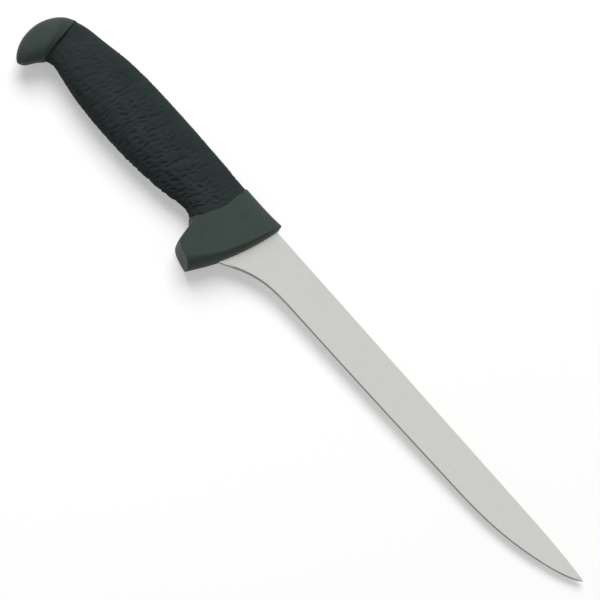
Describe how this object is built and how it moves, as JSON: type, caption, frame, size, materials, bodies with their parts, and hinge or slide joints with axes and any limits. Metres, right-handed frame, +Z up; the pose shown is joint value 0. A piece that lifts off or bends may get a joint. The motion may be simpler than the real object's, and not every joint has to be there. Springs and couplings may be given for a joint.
{
  "type": "fillet knife",
  "caption": "Fillet knife with a long narrow blade and a concave heel, in a moulded handle with a finger guard, a textured soft grip and a hooked pommel.",
  "frame": {"origin": "middle of the knife's box in length and height, on the plane it lies on", "axes": "the knife lies on its side: +X along the blade from pommel to tip, +Y from the cutting edge to the spine, +Z up through its thickness"},
  "size_m": [0.3207, 0.0428, 0.0184],
  "materials": {
    "blade_steel": "satin, with fine grinding lines across the blade",
    "handle_hard": "dark grey-green, smooth and matt with a fine moulded grain",
    "grip_soft": "darker grey, matt, with short wavy ridges across the grip"
  },
  "bodies": {
    "root": {"blade": "blade_steel", "handle_core": "handle_hard", "grip_sleeve": "grip_soft"}
  },
  "joints": []
}
